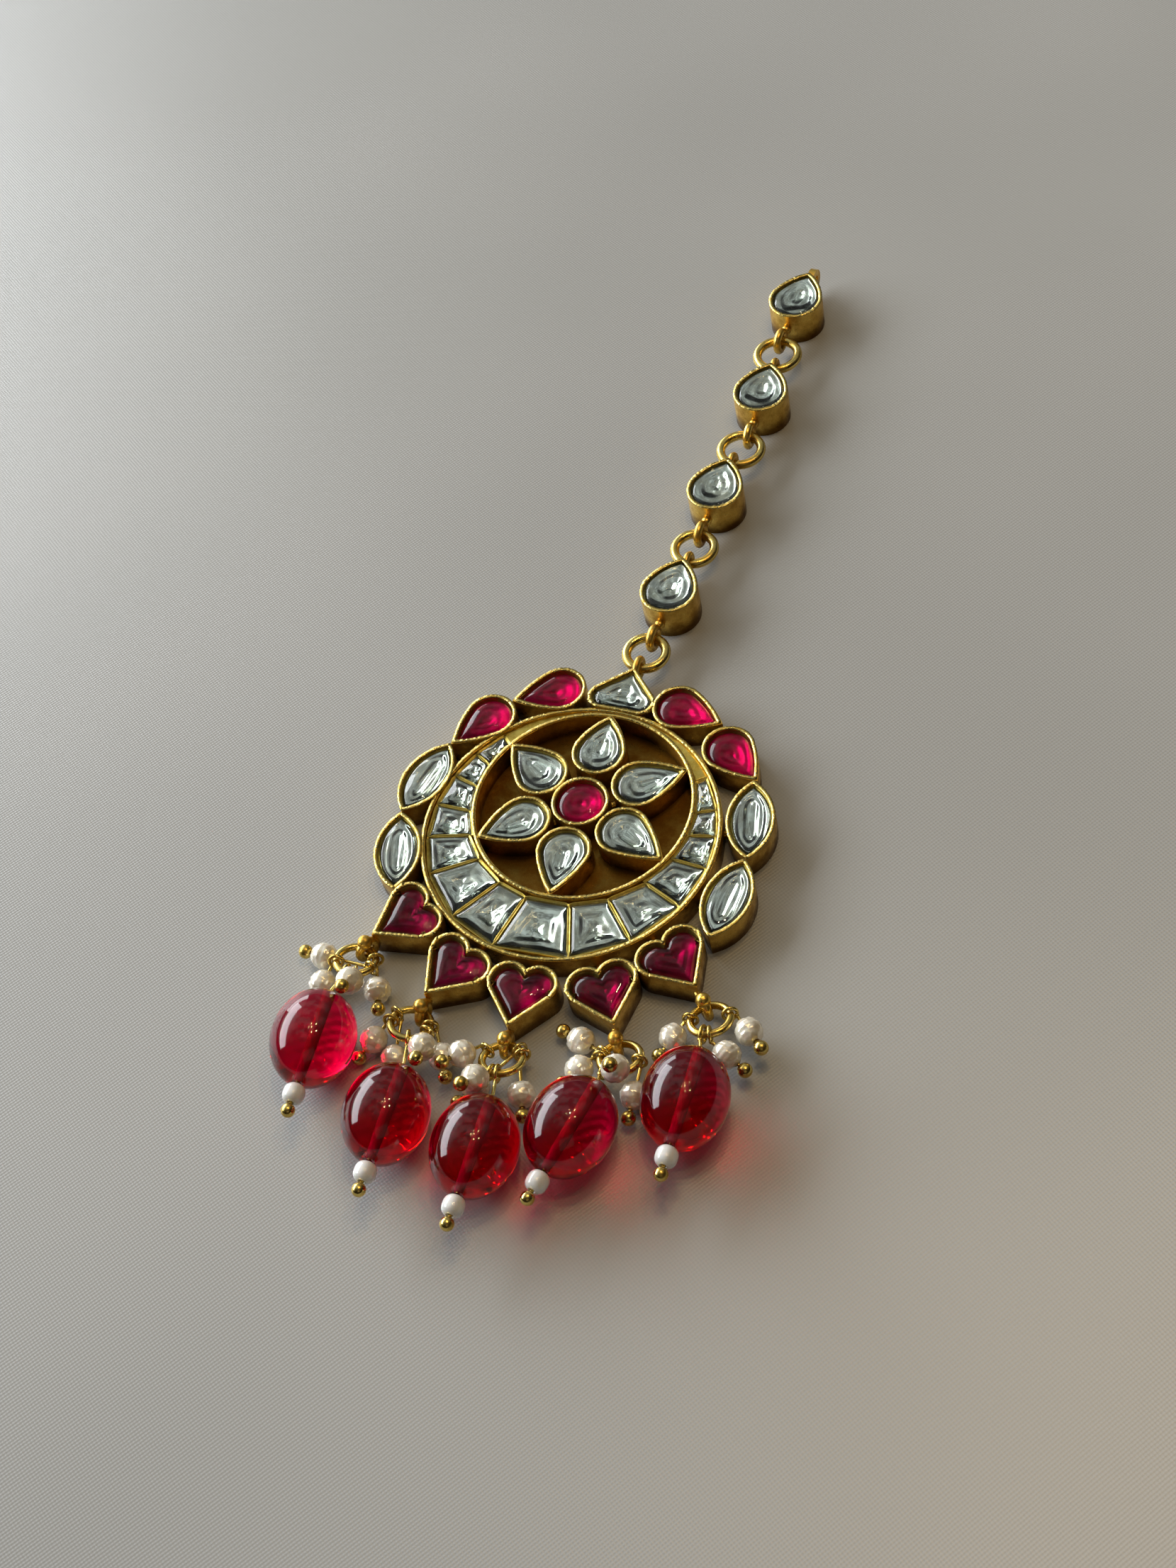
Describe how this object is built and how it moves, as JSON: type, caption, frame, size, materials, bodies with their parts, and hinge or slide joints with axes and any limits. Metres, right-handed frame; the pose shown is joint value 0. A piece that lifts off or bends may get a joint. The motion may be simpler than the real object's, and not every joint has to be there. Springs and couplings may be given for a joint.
{
  "type": "maang tikka",
  "caption": "Hair ornament: a round jewelled medallion ringed with set stones, on a chain of teardrop links with an end eye, hung with glass beads and pearls.",
  "frame": {"origin": "centre of the outer ring, in the plane of its flat back", "axes": "+Y along the chain towards the hair end, +Z out of the stones' faces, +X to the wearer's left as seen from the front"},
  "size_m": [0.0542, 0.1421, 0.0091],
  "materials": {
    "gold": "polished beaten gold, darker on the walls",
    "clear_stone": "foil-backed clear stone, bevelled",
    "ruby": "foil-backed red stone, domed",
    "red_glass": "clear deep red glass, smooth",
    "pearl": "cream pearl, soft sheen"
  },
  "bodies": {
    "root": {"medallion_frame": "gold", "petal_stone_top": "clear_stone", "petal_stone_upper_right": "clear_stone", "petal_stone_lower_right": "clear_stone", "petal_stone_bottom": "clear_stone", "petal_stone_lower_left": "clear_stone", "petal_stone_upper_left": "clear_stone", "centre_stone": "ruby", "crown_stone": "clear_stone", "marquise_upper_right_stone": "clear_stone", "marquise_lower_right_stone": "clear_stone", "marquise_lower_left_stone": "clear_stone", "marquise_upper_left_stone": "clear_stone", "pear_upper_right_stone": "ruby", "pear_right_stone": "ruby", "pear_left_stone": "ruby", "pear_upper_left_stone": "ruby", "heart_1_stone": "ruby", "heart_2_stone": "ruby", "heart_3_stone": "ruby", "heart_4_stone": "ruby", "heart_5_stone": "ruby", "crescent_stones": "clear_stone", "chain_link_1": "gold", "chain_stone_1": "clear_stone", "chain_ring_1": "gold", "chain_link_2": "gold", "chain_stone_2": "clear_stone", "chain_ring_2": "gold", "chain_link_3": "gold", "chain_stone_3": "clear_stone", "chain_ring_3": "gold", "chain_link_4": "gold", "chain_stone_4": "clear_stone", "chain_ring_4": "gold", "end_beads": "pearl", "drop_ring_1": "gold", "glass_bead_1": "red_glass", "bead_pin_1": "gold", "pearls_1": "pearl", "drop_ring_2": "gold", "glass_bead_2": "red_glass", "bead_pin_2": "gold", "pearls_2": "pearl", "drop_ring_3": "gold", "glass_bead_3": "red_glass", "bead_pin_3": "gold", "pearls_3": "pearl", "drop_ring_4": "gold", "glass_bead_4": "red_glass", "bead_pin_4": "gold", "pearls_4": "pearl", "drop_ring_5": "gold", "glass_bead_5": "red_glass", "bead_pin_5": "gold", "pearls_5": "pearl", "pearl_pins": "gold"}
  },
  "joints": []
}
